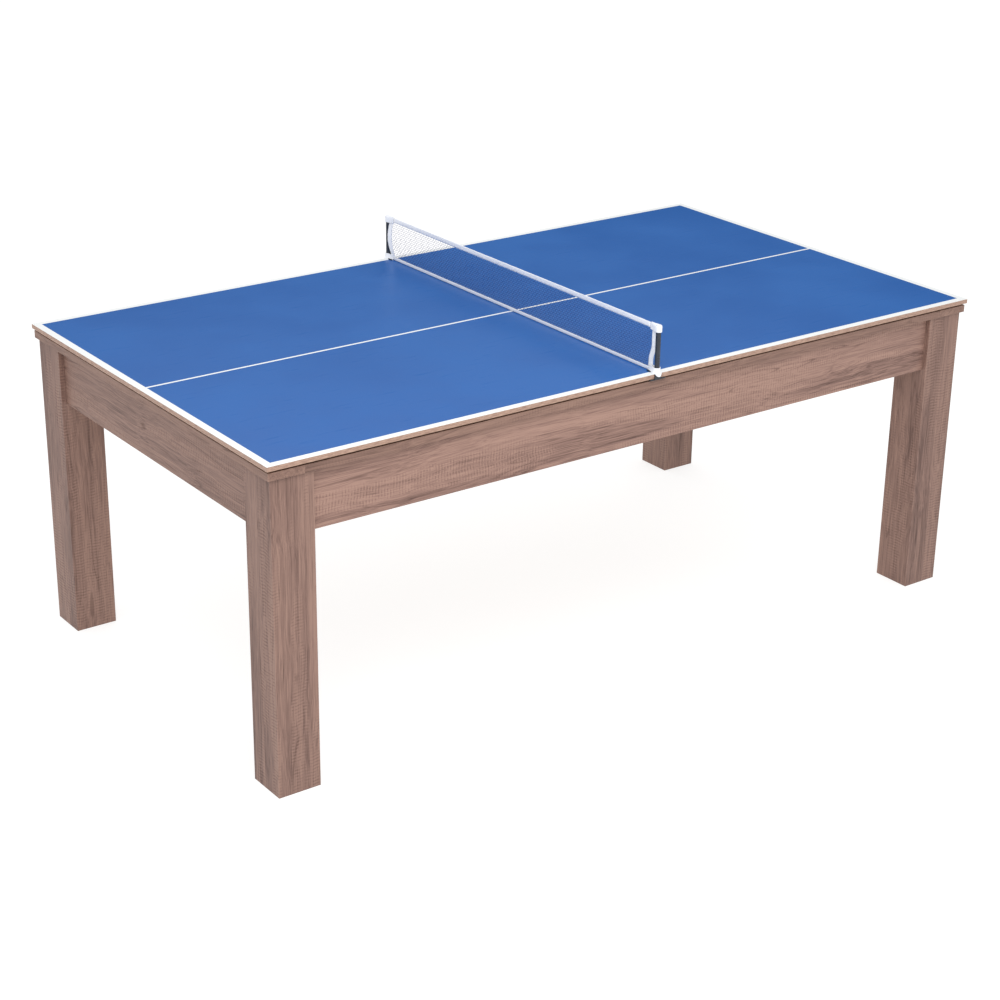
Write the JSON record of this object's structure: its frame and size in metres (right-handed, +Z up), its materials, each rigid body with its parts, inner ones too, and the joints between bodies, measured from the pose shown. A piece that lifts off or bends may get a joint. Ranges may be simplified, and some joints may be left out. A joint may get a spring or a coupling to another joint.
{
  "type": "pool table with tennis top",
  "caption": "Dining-height pool table on square legs, with a lift-off blue tennis top on its rails and a net between two clip-on posts.",
  "frame": {"origin": "on the floor under the middle of the table", "axes": "+X along the table's length, +Y across it, +Z up; the net stands in the plane x = 0"},
  "size_m": [2.134, 1.1808, 0.935],
  "materials": {
    "driftwood": "satin printed foil, grey-brown driftwood grain",
    "rail_wood": "satin printed foil, tan-brown",
    "raw_board": "raw fibreboard",
    "blue_board": "satin paint, white border and centre line, tan edge band",
    "felt": "pressed felt",
    "cloth": "napped pool cloth",
    "moulded": "fine moulded texture",
    "beech": "bare beech",
    "black_steel": "black enamel, semi-gloss",
    "white_tape": "woven cotton tape",
    "netting": "fine knitted netting"
  },
  "bodies": {
    "table": {"leg_front_left": "driftwood", "corner_plate_front_left": "raw_board", "pocket_front_left": "moulded", "cushion_front_left": "cloth", "leg_front_right": "driftwood", "corner_plate_front_right": "raw_board", "pocket_front_right": "moulded", "cushion_front_right": "cloth", "apron_front": "driftwood", "rail_front": "rail_wood", "pocket_front_middle": "moulded", "leg_back_left": "driftwood", "corner_plate_back_left": "raw_board", "pocket_back_left": "moulded", "cushion_back_left": "cloth", "leg_back_right": "driftwood", "corner_plate_back_right": "raw_board", "pocket_back_right": "moulded", "cushion_back_right": "cloth", "apron_back": "driftwood", "rail_back": "rail_wood", "pocket_back_middle": "moulded", "apron_left": "driftwood", "rail_left": "rail_wood", "cushion_left": "cloth", "bed_batten_left": "raw_board", "cross_beam_left_1": "raw_board", "cross_beam_left_2": "raw_board", "apron_right": "driftwood", "rail_right": "rail_wood", "cushion_right": "cloth", "bed_batten_right": "raw_board", "cross_beam_right_1": "raw_board", "cross_beam_right_2": "raw_board", "bed_board": "raw_board", "bed_cloth": "cloth"},
    "tennis_top_left": {"tennis_top_left": "blue_board", "felt_strip_front_left": "felt", "felt_strip_back_left": "felt", "top_dowel_1": "beech", "top_dowel_2": "beech", "top_dowel_3": "beech", "net_clip_front": "black_steel", "net_clip_back": "black_steel", "net_post_front": "black_steel", "net_post_back": "black_steel"},
    "tennis_top_right": {"tennis_top_right": "blue_board", "felt_strip_front_right": "felt", "felt_strip_back_right": "felt"},
    "net": {"net_headband": "white_tape", "net_footband": "white_tape", "net_mesh": "netting", "net_side_tape_front": "white_tape", "net_side_tape_back": "white_tape"},
    "leveller_front_left_body": {"leveller_front_left": "moulded"},
    "leveller_front_right_body": {"leveller_front_right": "moulded"},
    "leveller_back_left_body": {"leveller_back_left": "moulded"},
    "leveller_back_right_body": {"leveller_back_right": "moulded"}
  },
  "joints": [
    {"name": "tennis_top_lift", "type": "slide", "parent": "table", "child": "tennis_top_left", "axis": [0, 0, 1], "range_m": [0, 0.3]},
    {"name": "tennis_top_part", "type": "slide", "parent": "tennis_top_left", "child": "tennis_top_right", "axis": [1, 0, 0], "range_m": [0, 0.045]},
    {"name": "net_lift", "type": "slide", "parent": "tennis_top_left", "child": "net", "axis": [0, 0, 1], "range_m": [0, 0.15]},
    {"name": "leveller_front_left_screw", "type": "slide", "parent": "table", "child": "leveller_front_left_body", "axis": [0, 0, -1], "range_m": [0, 0.012]},
    {"name": "leveller_front_right_screw", "type": "slide", "parent": "table", "child": "leveller_front_right_body", "axis": [0, 0, -1], "range_m": [0, 0.012]},
    {"name": "leveller_back_left_screw", "type": "slide", "parent": "table", "child": "leveller_back_left_body", "axis": [0, 0, -1], "range_m": [0, 0.012]},
    {"name": "leveller_back_right_screw", "type": "slide", "parent": "table", "child": "leveller_back_right_body", "axis": [0, 0, -1], "range_m": [0, 0.012]}
  ]
}
